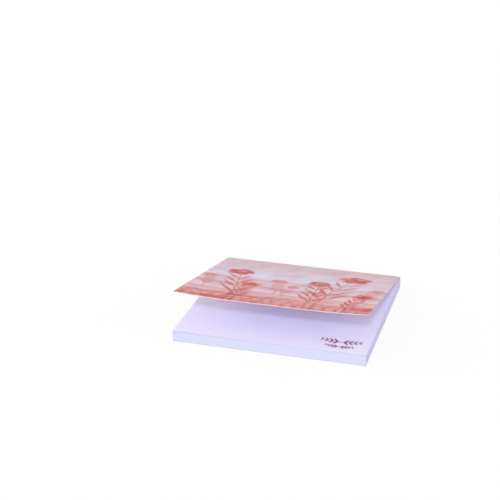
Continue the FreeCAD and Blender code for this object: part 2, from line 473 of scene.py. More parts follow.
@dataclass
class PaperEffects:
    """The node groups that the paper and card finishes share, each built once.

    Attributes:
        fibre_rates: Fibres to a metre, of those along the sheet and those across it.
        fibre_slimness: A fibre's width as a share of its length.
        fibre_detail: Number of finer layers of the fibres' noise.
        fibre_share: Share of the fibres in the paper's tone.
        cloud_rate: Clouds to a metre.
        cloud_detail: Number of finer layers of the clouds' noise.
        cloud_share: Share of the clouds in the paper's tone.
        ridge_detail: Number of finer layers of a hill's line.
        stem_end: Share of a stem over which it fades at its foot and past its tip.
        stem_taper: Share of a stem's width that is gone at its tip.
        stem_rim: Where a stem's soft rim ends and begins, in half widths.
        leaf_taper: Share of a leaf's size that is gone at the stem's tip.
        leaf_rim: Where a leaf's soft rim ends and begins, in half widths.
        last_leaf: Share of the stem above which no leaf starts.
        petal_notch: Share of a flower's radius that is missing between two petals.
        petal_fold: Share of a flower's tone that a petal's middle lacks.
        eye: Radius of a flower's deep middle as a share of its own.
        blade_width: Half width of a blade of grass at its foot, in shares of its cell.
        blade_rim: Where its soft rim ends and begins, in half widths.
        blade_tip: Share of a blade's height over which its tip fades.
        short_blade: Height of the shortest blade as a share of the tallest.
    """

    fibre_rates: tuple[float, float] = (5200.0, 4300.0)
    fibre_slimness: float = 0.22
    fibre_detail: float = 3.0
    fibre_share: float = 0.35
    cloud_rate: float = 420.0
    cloud_detail: float = 2.0
    cloud_share: float = 0.3
    ridge_detail: float = 4.0
    stem_end: float = 0.02
    stem_taper: float = 0.66
    stem_rim: tuple[float, float] = (1.8, 0.2)
    leaf_taper: float = 0.5
    leaf_rim: tuple[float, float] = (1.6, 0.3)
    last_leaf: float = 0.97
    petal_notch: float = 0.2
    petal_fold: float = 0.25
    eye: float = 0.05
    blade_width: float = 0.34
    blade_rim: tuple[float, float] = (1.3, 0.2)
    blade_tip: float = 0.15
    short_blade: float = 0.3

    def __post_init__(self) -> None:
        """Builds the groups."""
        self.fibre = self.make_fibre()
        self.plant = self.make_plant()
        self.ridge = self.make_ridge()
        self.bloom = self.make_bloom()
        self.grass = self.make_grass()

    def make_fibre(self) -> bpy.types.NodeTree:
        """Fibres and cloudy formation of a paper sheet.

        Short fibres are a fine noise read along a vector that is stretched one
        way, and again the other way. The cloud is a slow noise of a few
        millimetres, as seen when paper is held to the light.

        Returns:
            The group, which puts out a tone around 1 and a height.
        """
        nodes = NewGroup("paper_fibre", ["Place"], ["Tone Depth"])
        place, slim = nodes.read["Place"], self.fibre_slimness
        along, across = (
            nodes.noise(nodes.vector("MULTIPLY", place, stretch), rate, self.fibre_detail)
            for rate, stretch in zip(self.fibre_rates, ((1.0, slim, 1.0), (slim, 1.0, 1.0)))
        )
        fibres = along + across
        cloud = nodes.noise(place, self.cloud_rate, self.cloud_detail)
        both = fibres * self.fibre_share + cloud * self.cloud_share
        return nodes.put_out(Tone=(both - 0.5) * nodes.read["Tone Depth"] + 1.0, Height=fibres)

    def make_plant(self) -> bpy.types.NodeTree:
        """A bowed stem with pairs of pointed leaves.

        The stem leaves its foot straight, bends aside with the square of the
        distance from it and thins evenly towards its tip. A point beside the
        stem belongs to the leaf whose midrib passes nearest: its place is carried
        back to the stem along the leaves' slant, and the stem is split into one
        cell for each pair. A leaf is half_width * 4 u (1 - u) wide to each side
        at the share u of its length.

        Returns:
            The group, which puts out the plant's mask.
        """
        nodes = NewGroup("plant_shape", ["Place", "Foot"], [
            "Turn", "Length", "Bow", "Half Width", "Pairs", "Bare", "Leaf", "Leaf Half Width", "Spread"])
        read = nodes.read
        length, pairs, spread = read["Length"], read["Pairs"], read["Spread"]
        moved = nodes.vector("SUBTRACT", read["Place"], read["Foot"])
        turn = nodes.add("ShaderNodeVectorRotate", {"Vector": moved, "Angle": read["Turn"] * -1.0},
                         rotation_type="Z_AXIS")
        along, aside = nodes.parts(turn.outputs[0])
        share = along / length
        off = abs(aside - share * share * read["Bow"])
        width = read["Half Width"] * (1.0 - share * self.stem_taper)
        end = self.stem_end
        within = nodes.step(share, 0.0, end) * nodes.step(share, 1.0 + end, 1.0 - end / 2)
        stem = nodes.step(off, *(width * rim for rim in self.stem_rim)) * within
        root = share - off / nodes.math("TANGENT", spread) / length
        row = (root - read["Bare"]) * pairs
        slope = nodes.math("SINE", spread)
        from_rib = abs(nodes.math("FRACT", row) - 0.5) * (length * slope / pairs)
        size = 1.0 - root * self.leaf_taper
        u = off / (read["Leaf"] * size * slope)
        bulge = u * (1.0 - u) * 4.0
        half = bulge * size * read["Leaf Half Width"]
        blade = nodes.step(from_rib, *(half * rim for rim in self.leaf_rim))
        leafy = nodes.math("GREATER_THAN", row, 0.0) * nodes.math("LESS_THAN", root, self.last_leaf)
        leaf = blade * leafy * nodes.math("GREATER_THAN", bulge, 0.0)
        return nodes.put_out(Mask=nodes.math("MAXIMUM", stem, leaf))

    def make_ridge(self) -> bpy.types.NodeTree:
        """A hill: all that lies in front of a wavy line, deep at the line and paler
        below it, like land in mist.

        Returns:
            The group, which puts out the hill's mask and its depth of tone.
        """
        nodes = NewGroup("hill_shape", ["Place"], ["Level", "Swing", "Rate", "Shift", "Softness", "Mist"])
        read = nodes.read
        across, away = nodes.parts(read["Place"])
        at = nodes.add("ShaderNodeCombineXYZ", {0: across * read["Rate"] + read["Shift"]})
        wave = nodes.noise(at.outputs[0], 1.0, self.ridge_detail) - 0.5
        past = away - (wave * read["Swing"] + read["Level"])
        return nodes.put_out(Mask=nodes.step(past, 0.0, read["Softness"]),
                             Tone=nodes.step(past, read["Mist"], 0.0))

    def make_bloom(self) -> bpy.types.NodeTree:
        """A flower's head: inside where the distance from its middle is under its
        radius, which is less between two petals.

        Returns:
            The group, which puts out the head's mask and its tone, deep in the middle.
        """
        nodes = NewGroup("bloom_shape", ["Place", "Centre", "Half Size"], ["Petals", "Turn", "Softness"])
        read = nodes.read
        moved = nodes.vector("SUBTRACT", read["Place"], read["Centre"])
        scaled = nodes.vector("DIVIDE", moved, read["Half Size"])
        radius = nodes.vector("LENGTH", scaled, output="Value")
        across, away = nodes.parts(scaled)
        angle = nodes.math("ARCTAN2", away, across) + read["Turn"]
        lobes = abs(nodes.math("COSINE", angle * (read["Petals"] * 0.5)))
        inside = lobes * self.petal_notch + (1.0 - self.petal_notch) - radius
        folds = 1.0 - lobes * self.petal_fold
        return nodes.put_out(Mask=nodes.step(inside, read["Softness"] * -1.0, read["Softness"]),
                             Tone=nodes.step(radius, 1.0, self.eye) * folds)

    def make_grass(self) -> bpy.types.NodeTree:
        """A row of blades: one in each cell across, as tall as the cell's own chance
        gives, thinning evenly to its tip and leaning with the square of the height.

        Returns:
            The group, which puts out the mask of the blades.
        """
        nodes = NewGroup("grass_row", ["Place"], ["Foot", "Height", "Cells", "Lean", "Shift"])
        read = nodes.read
        across, away = nodes.parts(read["Place"])
        share = nodes.math("MAXIMUM", (read["Foot"] - away) / read["Height"], 0.0)
        cell = across * read["Cells"] + read["Shift"] - share * share * read["Lean"]
        number = nodes.math("FLOOR", cell)
        chance = nodes.add("ShaderNodeTexWhiteNoise", {"W": number}, noise_dimensions="1D")
        tall = Value(nodes, chance.outputs["Value"]) * (1.0 - self.short_blade) + self.short_blade
        left = 1.0 - share / tall
        width = nodes.math("MAXIMUM", left, 0.0) * self.blade_width
        off = abs(nodes.math("FRACT", cell) - 0.5)
        beside = nodes.step(off, *(width * rim for rim in self.blade_rim))
        return nodes.put_out(Mask=beside * nodes.step(left, 0.0, self.blade_tip))


@dataclass(frozen=True)
class Grain:
    """How strongly a sheet's fibres show, and how it shines.

    Attributes:
        tone_depth: How much the fibres change its colour.
        relief: Metres that the fibres rise for one unit of their height.
        roughness: Roughness of the sheet.
        gloss: Its specular level.
    """

    tone_depth: float
    relief: float
    roughness: float
    gloss: float


class SheetMaterial(Nodes):
    """The nodes of one paper or card finish, round a Principled surface.

    Attributes:
        material: The material.
        effects: The shared node groups.
        surface: The inputs of its Principled node.
    """

    def __init__(self, name: str, effects: PaperEffects) -> None:
        """Makes a material with a bare surface.

        Args:
            name: Name of the material.
            effects: The shared node groups.
        """
        self.material = bpy.data.materials.new(name)
        self.material.use_nodes = True
        super().__init__(self.material.node_tree)
        self.effects = effects
        self.surface = self.tree.nodes["Principled BSDF"].inputs

    def finished(self, shade: object, metres: object, grain: Grain) -> bpy.types.Material:
        """Lays the sheet's fibres over a colour and sets how it shines.

        Args:
            shade: The colour, as a value or four numbers.
            metres: Place on the sheet, in metres.
            grain: The sheet's grain.

        Returns:
            The material.
        """
        fibre = self.group(self.effects.fibre, Place=metres, Tone_Depth=grain.tone_depth)
        base = shade if isinstance(shade, Value) else shade[:3]
        self.feed(self.surface["Base Color"], self.scaled(base, fibre["Tone"]))
        relief = {"Strength": 1.0, "Distance": grain.relief, "Height": fibre["Height"]}
        self.feed(self.surface["Normal"], self.add("ShaderNodeBump", relief).outputs[0])
        self.feed(self.surface["Roughness"], grain.roughness)
        self.feed(self.surface["Specular IOR Level"], grain.gloss)
        return self.material


@dataclass(frozen=True)
class Plant:
    """A printed plant: a bowed stem with leaves in pairs, smaller towards the tip.

    Attributes:
        foot: Where the stem starts, across and away from the crease.
        heading: Direction in which it starts, in radians.
        length: Length of the stem.
        bow: How far its tip bends aside.
        pairs: Number of pairs of leaves that a whole stem without a bare foot would have.
        leaf: Length and half width of the largest leaf.
        spread: Angle between a leaf and the stem, in radians.
        half_width: Half the stem's width at its foot.
        bare: Share of the stem's length that is bare at its foot.
    """

    foot: tuple[float, float]
    heading: float
    length: float
    bow: float
    pairs: float
    leaf: tuple[float, float]
    spread: float
    half_width: float
    bare: float

    def mask(self, nodes: SheetMaterial, place: object) -> Value:
        """The whole plant as one mask.

        Args:
            nodes: The material's nodes.
            place: Vector in the same units as the plant.

        Returns:
            The greater of the stem's and the leaves' masks.
        """
        return nodes.group(
            nodes.effects.plant, Place=place, Foot=(*self.foot, 0.0), Turn=self.heading,
            Length=self.length, Bow=self.bow, Half_Width=self.half_width, Pairs=self.pairs,
            Bare=self.bare, Leaf=self.leaf[0], Leaf_Half_Width=self.leaf[1], Spread=self.spread,
        )["Mask"]


@dataclass(frozen=True)
class NotePaper:
    """Uncoated paper of the notes, with a cool lilac tint.

    Attributes:
        effects: The shared node groups.
        face: Colour of a note's face.
        cut: Colour of the trimmed edges.
        ink: Colour of the small printed ornament.
        grain: Grain of the sheet.
    """

    effects: PaperEffects
    face: tuple = colour(227, 222, 251)
    cut: tuple = colour(186, 185, 218)
    ink: tuple = colour(122, 18, 80)
    grain: Grain = Grain(tone_depth=0.035, relief=0.003 * MM, roughness=0.82, gloss=0.3)

    def sheet(self, name: str, base: tuple, ornament: Sequence[Plant] = ()) -> bpy.types.Material:
        """A sheet of this paper, plain or with a small ornament printed on it.

        Args:
            name: Name of the material.
            base: Colour of the paper.
            ornament: The printed sprigs, in metres.

        Returns:
            The material.
        """
        nodes = SheetMaterial(name, self.effects)
        place = nodes.add("ShaderNodeTexCoord").outputs["Object"]
        shade = base
        for sprig in ornament:
            shade = nodes.mix(sprig.mask(nodes, place), shade, self.ink)
        return nodes.finished(shade, place, self.grain)


@dataclass(frozen=True)
class Hill:
    """One printed hill, in shares of the printed panel.

    Attributes:
        level: Mean distance of its line from the crease.
        swing: How far the line waves.
        rate: Number of waves across the panel.
        shift: Place along the wave at the left edge.
        mist: Depth over which it fades.
        deep: Colour at its line.
        pale: Colour where it has faded.
        softness: Blur of its line.
    """

    level: float
    swing: float
    rate: float
    shift: float
    mist: float
    deep: tuple
    pale: tuple
    softness: float = 0.03


@dataclass(frozen=True)
class Bloom:
    """A printed flower's head on its stem, in shares of the printed panel.

    Attributes:
        centre: Its middle, across and away from the crease.
        half_size: Half its width and half its height.
        foot: Where the stem starts, in the foreground.
        turn: Direction of a petal, in radians.
        petals: Number of petals.
        softness: Blur of its outline.
        pairs: Number of pairs of leaves that the whole stem would have.
        leaf_share: Length of the largest leaf as a share of the stem's height.
        leaf_half_width: Half width of the largest leaf.
        spread: Angle between a leaf and the stem, in radians.
        stem_half_width: Half the stem's width at its foot.
        bare: Share of the stem's length that is bare at its foot.
    """

    centre: tuple[float, float]
    half_size: tuple[float, float]
    foot: tuple[float, float]
    turn: float
    petals: int = 5
    softness: float = 0.15
    pairs: float = 7.0
    leaf_share: float = 0.30
    leaf_half_width: float = 0.016
    spread: float = math.radians(32)
    stem_half_width: float = 0.007
    bare: float = 0.25

    def stem(self) -> Plant:
        """A bowed stem with pairs of leaves, from the foot to the middle of the head.

        The stem starts straight towards the crease, so its length is the
        distance away from the foot along the panel, and its bow is the
        distance across.

        Returns:
            The stem with its leaves.
        """
        height = self.foot[1] - self.centre[1]
        return Plant(
            foot=self.foot, heading=-math.pi / 2, length=height,
            bow=self.centre[0] - self.foot[0], pairs=self.pairs,
            leaf=(height * self.leaf_share, self.leaf_half_width), spread=self.spread,
            half_width=self.stem_half_width, bare=self.bare,
        )


@dataclass(frozen=True)
class Blotches:
    """Soft blotches in the print: where a noise passes from one limit to another.

    Attributes:
        scale: Blotches across the panel.
        detail: Number of finer layers of the noise.
        low: Noise at which a blotch begins.
        high: Noise at which it is full.
        stretch: How many times wider than deep they are.
        share: Greatest value of their mask.
        rows: Where they begin and where they are in full, away from the crease.
    """

    scale: float
    detail: float
    low: float
    high: float
    stretch: float = 1.0
    share: float = 1.0
    rows: tuple[float, float] | None = None


class CardMaterial(SheetMaterial):
    """A finish of the card, read from the sheet's own UV map.

    That map gives a place in shares of a panel: across, and away from the
    upper crease, which is below 0 on the spine and on the back panel.

    Attributes:
        place: The place, as a vector.
        across: Its first part, from 0 at the left edge to 1 at the right one.
        away: Its second part, from 0 at the crease to 1 at the front edge.
        metres: The place in metres.
    """

    def __init__(self, name: str, card: "CoverCard") -> None:
        """Reads the place on the sheet.

        Args:
            name: Name of the material.
            card: The card's finish.
        """
        super().__init__(name, card.effects)
        self.place = Value(self, self.add("ShaderNodeUVMap", uv_map="sheet").outputs[0])
        self.across, self.away = self.parts(self.place)
        self.metres = self.scaled(self.place, card.reach)


class PanelPrint(CardMaterial):
    """The print on the card, as layers of colour that are laid one over the other.

    Attributes:
        shade: The colour of all the layers so far.
        drawn: The place, moved by the waver of a hand.
        load: Share of ink that the brush leaves there.
    """

    def __init__(self, name: str, card: "CoverCard") -> None:
        """Starts with one plain colour.

        Args:
            name: Name of the material.
            card: The card's finish, with its inks.
        """
        super().__init__(name, card)
        self.shade = card.rose
        self.drawn = self.wavering(self.place, *card.waver)
        self.load = self.blotted(card.flow) + card.dry_brush

    def lay(self, mask: Value, ink: object) -> None:
        """Lays an ink over all so far, where its mask is."""
        self.shade = self.mix(mask, self.shade, ink)

    def blotted(self, blotches: Blotches) -> Value:
        """The mask of some blotches.

        Args:
            blotches: The blotches.

        Returns:
            Their mask.
        """
        drawn_out = self.vector("MULTIPLY", self.place, (1.0, blotches.stretch, 1.0))
        noise = self.noise(drawn_out, blotches.scale, blotches.detail)
        mask = self.step(noise, blotches.low, blotches.high) * blotches.share
        return mask * self.step(self.away, *blotches.rows) if blotches.rows else mask

    def lay_hills(self, hills: Sequence[Hill]) -> None:
        """Lays hills over what is behind them, the farthest first.

        Args:
            hills: The hills.
        """
        for hill in hills:
            shape = self.group(
                self.effects.ridge, Place=self.place, Level=hill.level, Swing=hill.swing,
                Rate=hill.rate, Shift=hill.shift, Softness=hill.softness, Mist=hill.mist,
            )
            self.lay(shape["Mask"], self.mix(shape["Tone"], hill.pale, hill.deep))

    def lay_flowers(self, blooms: Sequence[Bloom], stem_ink: tuple,
                    petal_ink: tuple[tuple, tuple], stem_share: float) -> None:
        """Lays stems and leaves over what is behind them, and then the heads.

        Args:
            blooms: The flowers.
            stem_ink: Colour of their stems and leaves.
            petal_ink: Colours of a head, at its rim and in its middle.
            stem_share: Share of the ink in the stems.
        """
        for bloom in blooms:
            self.lay(bloom.stem().mask(self, self.drawn) * (self.load * stem_share), stem_ink)
        for bloom in blooms:
            head = self.group(
                self.effects.bloom, Place=self.drawn, Centre=(*bloom.centre, 0.0),
                Half_Size=(*bloom.half_size, 1.0), Petals=bloom.petals, Turn=bloom.turn,
                Softness=bloom.softness,
            )
            self.lay(head["Mask"] * self.load, self.mix(head["Tone"], *petal_ink))

    def near_border(self, line: tuple[float, float]) -> Value:
        """The mask of a thin line along the panel's edges, its crease and the sides of the card.

        Args:
            line: Where the line ends and where it is in full, away from an edge.

        Returns:
            The mask.
        """
        nearest = abs(self.away)
        for edge in (1.0 - self.away, self.across, 1.0 - self.across):
            nearest = self.math("MINIMUM", nearest, edge)
        return self.step(nearest, *line)


# The printed flowers, and the rows of grass at the front edge, in shares of the panel
FAR_BLOOMS = (
    Bloom((0.05, 0.50), (0.045, 0.040), (0.08, 0.80), turn=0.4),
    Bloom((0.42, 0.47), (0.050, 0.046), (0.46, 0.80), turn=1.1),
    Bloom((0.52, 0.56), (0.036, 0.034), (0.50, 0.80), turn=0.2),
    Bloom((0.95, 0.46), (0.044, 0.040), (0.92, 0.80), turn=0.9),
)
NEAR_BLOOMS = (
    Bloom((0.79, 0.24), (0.090, 0.084), (0.70, 1.02), turn=0.35),
    Bloom((0.63, 0.42), (0.066, 0.060), (0.66, 1.02), turn=1.2),
    Bloom((0.90, 0.62), (0.054, 0.050), (0.86, 1.02), turn=0.8),
    Bloom((0.17, 0.34), (0.080, 0.074), (0.26, 1.02), turn=0.1),
    Bloom((0.30, 0.60), (0.058, 0.052), (0.29, 1.02), turn=1.5),
)
GRASS = (
    {"Foot": 1.02, "Height": 0.34, "Cells": 15.0, "Lean": 2.6, "Shift": 0.2},
    {"Foot": 1.02, "Height": 0.24, "Cells": 19.0, "Lean": -2.4, "Shift": 7.7},
)


@dataclass(frozen=True)
class CoverCard:
    """Smooth card, printed outside in tones of coral and plain white inside.

    The print is a meadow in mist: a pale clouded sky towards the crease, hills
    below it, and a foreground of grass with flowers that reach up into the sky.

    Attributes:
        effects: The shared node groups.
        reach: Metres that one unit of the sheet's UV map stands for.
        rose: Colour of the sky at the crease, and of the spine and back panel.
        lilac: Colour of the sky above the hills.
        sky_rows: Where the sky is all rose and where it is all lilac.
        cloud: Colour of the clouds.
        clouds: The clouds.
        hills: The hills, the farthest first.
        hills_behind: Number of hills behind the far flowers.
        far_ink: Colour of the far flowers.
        stem_ink: Colour of the near stems and leaves.
        stem_share: Share of the ink in near and far stems, beside that in the heads.
        petal_ink: Colours of a near flower, at its rim and in its middle.
        grass_ink: Colour of the grass at the front edge.
        grass_share: Share of that ink in the blades.
        streak: Colour of the light that lies across the foreground.
        streaks: The streaks of light.
        stroke: Colour of the brush strokes at the front edge.
        strokes: The strokes.
        tint: Colour that stains the print, like a wash of thin paint.
        stains: The stains.
        waver: Waves of a drawn line across the panel, their finer layers, and their reach.
        flow: Where the brush has more ink.
        dry_brush: Share of ink where it has least.
        wash: Scale, finer layers, depth and middle of the wash's tone.
        flecks: Flecks of bare card in the worn edges.
        wear: Where wear ends and where it is in full, away from an edge.
        inside: Colour of the plain face.
        painted_glow: Painted light: a glow on the front panel's inside, in place of the light that the
            thin card lets through.
        painted_glow_rows: Where that painted glow is none and where it is full, away from the crease.
        cut: Colour of the cut rim, and of the worn edges.
        painted_rim_shade: Colour of the cut rim on the back panel, darker than the rest as a painted
            shade along the pad's foot.
        painted_rim_shade_rows: Where the rim has its own colour and where it is all that painted shade,
            away from the crease.
        print_grain: Grain of the printed face.
        plain_grain: Grain of the plain face and the cut rim.
    """

    effects: PaperEffects
    reach: float
    rose: tuple = colour(199, 179, 192)
    lilac: tuple = colour(208, 203, 228)
    sky_rows: tuple[float, float] = (0.02, 0.4)
    cloud: tuple = colour(204, 177, 190)
    clouds: Blotches = Blotches(2.2, 2.5, 0.40, 0.78, stretch=2.2, share=0.7)
    hills: tuple = (
        Hill(0.45, 0.16, 2.2, 3.1, 0.14, colour(202, 166, 178), colour(208, 194, 214)),
        Hill(0.60, 0.16, 1.7, 7.7, 0.12, colour(202, 146, 154), colour(213, 194, 211)),
        Hill(0.74, 0.10, 1.3, 1.4, 0.14, colour(206, 162, 172), colour(212, 192, 208)),
        Hill(0.84, 0.24, 2.3, 5.2, 0.16, colour(199, 138, 147), colour(209, 161, 168)),
    )
    hills_behind: int = 2
    far_ink: tuple = colour(199, 134, 140)
    stem_ink: tuple = colour(182, 72, 72)
    stem_share: float = 0.9
    petal_ink: tuple = (colour(200, 88, 80), colour(158, 36, 42))
    grass_ink: tuple = colour(183, 74, 74)
    grass_share: float = 0.5
    streak: tuple = colour(217, 170, 164)
    streaks: Blotches = Blotches(3.4, 3.0, 0.50, 0.66, stretch=7.0, share=0.8, rows=(0.72, 0.86))
    stroke: tuple = colour(190, 84, 80)
    strokes: Blotches = Blotches(2.3, 4.0, 0.50, 0.64, stretch=7.0, share=0.8, rows=(0.76, 0.92))
    tint: tuple = colour(207, 138, 146)
    stains: Blotches = Blotches(5.0, 6.0, 0.46, 0.72, share=0.4)
    waver: tuple[float, float, float] = (13.0, 3.0, 0.014)
    flow: Blotches = Blotches(17.0, 4.0, 0.30, 0.62, share=0.45)
    dry_brush: float = 0.5
    wash: tuple[float, float, float, float] = (11.0, 5.0, 0.5, 1.06)
    flecks: Blotches = Blotches(160.0, 3.0, 0.38, 0.62)
    wear: tuple[float, float] = (0.004, 0.001)
    inside: tuple = colour(197, 193, 213)
    # Painted light: an emission on the front panel's inside that stands in for light through the card
    painted_glow: tuple = (0.104, 0.087, 0.092, 1.0)
    painted_glow_rows: tuple[float, float] = (0.0, 0.1)
    cut: tuple = colour(200, 172, 192)
    # Painted shade: the cut rim on the back panel is darker, along the pad's foot
    painted_rim_shade: tuple = colour(176, 173, 198)
    painted_rim_shade_rows: tuple[float, float] = (-0.05, -0.12)
    print_grain: Grain = Grain(tone_depth=0.03, relief=0.001 * MM, roughness=0.6, gloss=0.12)
    plain_grain: Grain = Grain(tone_depth=0.035, relief=0.003 * MM, roughness=0.75, gloss=0.12)

    def printed(self) -> bpy.types.Material:
        """The printed outside of the card.

        Returns:
            The material.
        """
        layers = PanelPrint("coral_print", self)
        layers.lay(layers.step(layers.away, *self.sky_rows), self.lilac)
        layers.lay(layers.blotted(self.clouds), self.cloud)
        layers.lay_hills(self.hills[:self.hills_behind])
        layers.lay_flowers(FAR_BLOOMS, self.far_ink, (self.far_ink, self.far_ink), self.stem_share)
        layers.lay_hills(self.hills[self.hills_behind:])
        layers.lay(layers.blotted(self.streaks), self.streak)
        layers.lay(layers.blotted(self.strokes), self.stroke)
        layers.lay_flowers(NEAR_BLOOMS, self.stem_ink, self.petal_ink, self.stem_share)
        for row in GRASS:
            blades = layers.group(self.effects.grass, Place=layers.drawn, **row)["Mask"]
            layers.lay(blades * (layers.load * self.grass_share), self.grass_ink)
        layers.lay(layers.blotted(self.stains), self.tint)
        scale, detail, depth, middle = self.wash
        wash = (layers.noise(layers.place, scale, detail) - 0.5) * depth + middle
        layers.shade = layers.scaled(layers.shade, wash)
        layers.lay(layers.step(layers.away, self.wear[0], -self.wear[0]), self.rose)
        layers.lay(layers.near_border(self.wear) * layers.blotted(self.flecks), self.cut)
        return layers.finished(layers.shade, layers.metres, self.print_grain)

    def plain(self, name: str, base: tuple, below: tuple,
              light: tuple | None = None) -> bpy.types.Material:
        """Bare card, for the inside and for the cut rim.

        Args:
            name: Name of the material.
            base: Its colour.
            below: Its colour on the back panel, which on the cut rim is a painted shade.
            light: Colour of a painted glow on the front panel's inside, in place of light that comes
                through the card, or None.

        Returns:
            The material.
        """
        nodes = CardMaterial(name, self)
        # Darker on the back panel: on the cut rim this is painted shade
        shade = nodes.mix(nodes.step(nodes.away, *self.painted_rim_shade_rows), base, below)
        # Painted light: the front panel's inside glows, in place of light through the card
        if light is not None:
            on_panel = nodes.step(nodes.away, *self.painted_glow_rows)
            glow = nodes.mix(on_panel, (0.0, 0.0, 0.0, 1.0), light)
            nodes.feed(nodes.surface["Emission Color"], glow)
            nodes.feed(nodes.surface["Emission Strength"], 1.0)
        return nodes.finished(shade, nodes.metres, self.plain_grain)


@dataclass
class NoteBlock:
    """The notes: a trimmed stack of flat ones, and a few on top whose free ends lift.

    Attributes:
        sizes: Sizes of the pad.
        count: Number of notes.
        lifting: How many of them lift, from the top.
        share: Thickness of a note as a share of its pitch in the stack.
        shuffle: How far a note may lie out of line after trimming.
        seed: Start of the random numbers that the notes are out of line by.
        corner: Radius of a note's corners.
        corner_points: Points on each corner of a flat note's outline.
        steps: Points along each side of it.
        glue: Depth of the glued strip at the rear edge.
        lift: How far the top note's free edge stands above the next one.
        lift_shares: Share of the lift in the middle of the edge, and how much more at its ends.
        lift_points: Points along each side of a lifted note.
        ornament_inset: Middle of the printed ornament, from the right and front edges.
        sprigs: Lengths of the ornament's sprigs, for each pair.
        sprig_drop: Distance between two pairs.
        sprig_leaves: Number of pairs of leaves that a whole sprig would have.
        sprig_leaf: Length and half width of a sprig's largest leaf, as shares of its length.
        sprig_bow: How far a sprig bends, as a share of its length.
        sprig_stem: Half width of a sprig's stem.
        sprig_spread: Angle between its leaves and its stem, in radians.
        sprig_bare: Share of its length that is bare at its foot.
    """

    sizes: PadSizes
    count: int = 48
    lifting: int = 3
    share: float = 0.94
    shuffle: float = 0.018 * MM
    seed: int = 11
    corner: float = 0.12 * MM
    corner_points: int = 3
    steps: int = 16
    glue: float = 20 * MM
    lift: float = 0.09 * MM
    lift_shares: tuple[float, float] = (0.7, 0.5)
    lift_points: int = 41
    ornament_inset: tuple[float, float] = (11.2 * MM, 8.6 * MM)
    sprigs: tuple[float, ...] = (8.2 * MM, 5.6 * MM)
    sprig_drop: float = 4.2 * MM
    sprig_leaves: float = 4.4
    sprig_leaf: tuple[float, float] = (0.36, 0.063)
    sprig_bow: float = 0.16
    sprig_stem: float = 0.25 * MM
    sprig_spread: float = math.radians(52)
    sprig_bare: float = 0.04

    @property
    def pitch(self) -> float:
        """Height of one note in the stack."""
        return (self.sizes.top - self.sizes.bottom) / self.count

    def outline(self) -> np.ndarray:
        """Outline of a note: a rectangle whose corners are quarter circles.

        Each corner's points are its centre plus the radius times the cosine and
        sine of a quarter turn in even steps, and the sides have even steps.

        Returns:
            The outline's points in order, as rows of X and Y.
        """
        half = self.sizes.width / 2 - self.corner
        low, high = self.sizes.front + self.corner, self.sizes.rear - self.corner
        centres = np.array([(half, low), (half, high), (-half, high), (-half, low)])
        turns = np.linspace(0, math.pi / 2, self.corner_points)
        starts = np.array([-1, 0, 1, 2]) * math.pi / 2
        angles = starts[:, None] + turns[None, :]
        arcs = centres[:, None, :] + self.corner * np.stack([np.cos(angles), np.sin(angles)], axis=-1)
        last, first = arcs[:, -1], np.roll(arcs[:, 0], -1, axis=0)
        shares = np.linspace(0, 1, self.steps)[1:-1, None]
        sides = last[:, None, :] + (first - last)[:, None, :] * shares[None, :, :]
        return np.concatenate([arcs, sides], axis=1).reshape(-1, 2)

    def stack(self) -> bpy.types.Object:
        """The flat notes, each a closed sheet moved a hair out of line.

        A note's outline is the shared one plus its own small move to either side
        and towards the spine. Its upper and lower faces are strips of four-sided
        faces from one side of the outline to the other.

        Returns:
            The stack.
        """
        flat = self.count - self.lifting
        outline = self.outline()
        around = len(outline)
        chance = np.random.default_rng(self.seed)
        moves = chance.normal(0.0, self.shuffle, (flat, 1, 2)).clip(-2 * self.shuffle, 2 * self.shuffle)
        moves[..., 1] = np.abs(moves[..., 1])
        level = self.sizes.bottom + self.pitch * np.arange(flat)
        places = outline[None] + moves
        rings = np.concatenate([
            np.concatenate([places, np.broadcast_to(z[:, None, None], (flat, around, 1))], axis=2)
            for z in (level, level + self.pitch * self.share)
        ], axis=1)
        here = np.arange(around)
        after = np.roll(here, -1)
        wall = np.stack([here, after, after + around, here + around], axis=1)
        rung = np.arange(around // 2 - 1)
        floor = np.stack([rung, around - 1 - rung, around - 2 - rung, rung + 1], axis=1)
        one = np.concatenate([floor[:, ::-1] + around, floor, wall])
        sides = np.repeat([side.value for side in Side], [len(floor), len(floor), len(wall)])
        faces = one[None] + (np.arange(flat) * 2 * around)[:, None, None]
        surface = Surface(rings.reshape(-1, 3), faces.reshape(-1, 4), np.tile(sides, flat))
        return surface.turned_out().into_object("note_stack")

    def lifted(self, order: int) -> Surface:
        """One of the top notes, whose free end lifts from the one below.

        The lift grows with the square of the distance from the glued strip, is
        a little more at the two corners, and halves with each note down.

        Args:
            order: Place from the top, 0 for the top note.

        Returns:
            The note.
        """
        sizes = self.sizes
        x = np.linspace(-sizes.width / 2, sizes.width / 2, self.lift_points)[None, :]
        y = np.linspace(sizes.front, sizes.rear, self.lift_points)[:, None]
        free = np.clip((sizes.rear - self.glue - y) / (sizes.rear - self.glue - sizes.front), 0, 1)
        edge = (2 * x / sizes.width) ** 2
        rise = sum(self.lift / 2**k for k in range(order, self.lifting))
        level = sizes.top - self.pitch * (order + 0.5)
        z = level + rise * free**2 * (self.lift_shares[0] + self.lift_shares[1] * edge)
        middle = np.stack(np.broadcast_arrays(x, y, z), axis=-1)
        return sheet_solid(middle, self.pitch * self.share)

    def garland(self) -> tuple[Plant, ...]:
        """The printed ornament: leafy sprigs in mirrored pairs, each pair lower than the last.

        Returns:
            The sprigs.
        """
        x = self.sizes.width / 2 - self.ornament_inset[0]
        y = self.sizes.front + self.ornament_inset[1]
        return tuple(
            Plant(
                foot=(x, y - self.sprig_drop * row), heading=heading, length=length, bow=bow * length,
                pairs=self.sprig_leaves, leaf=tuple(length * part for part in self.sprig_leaf),
                spread=self.sprig_spread, half_width=self.sprig_stem, bare=self.sprig_bare,
            )
            for row, length in enumerate(self.sprigs)
            for heading, bow in ((0.0, self.sprig_bow), (math.pi, -self.sprig_bow))
        )

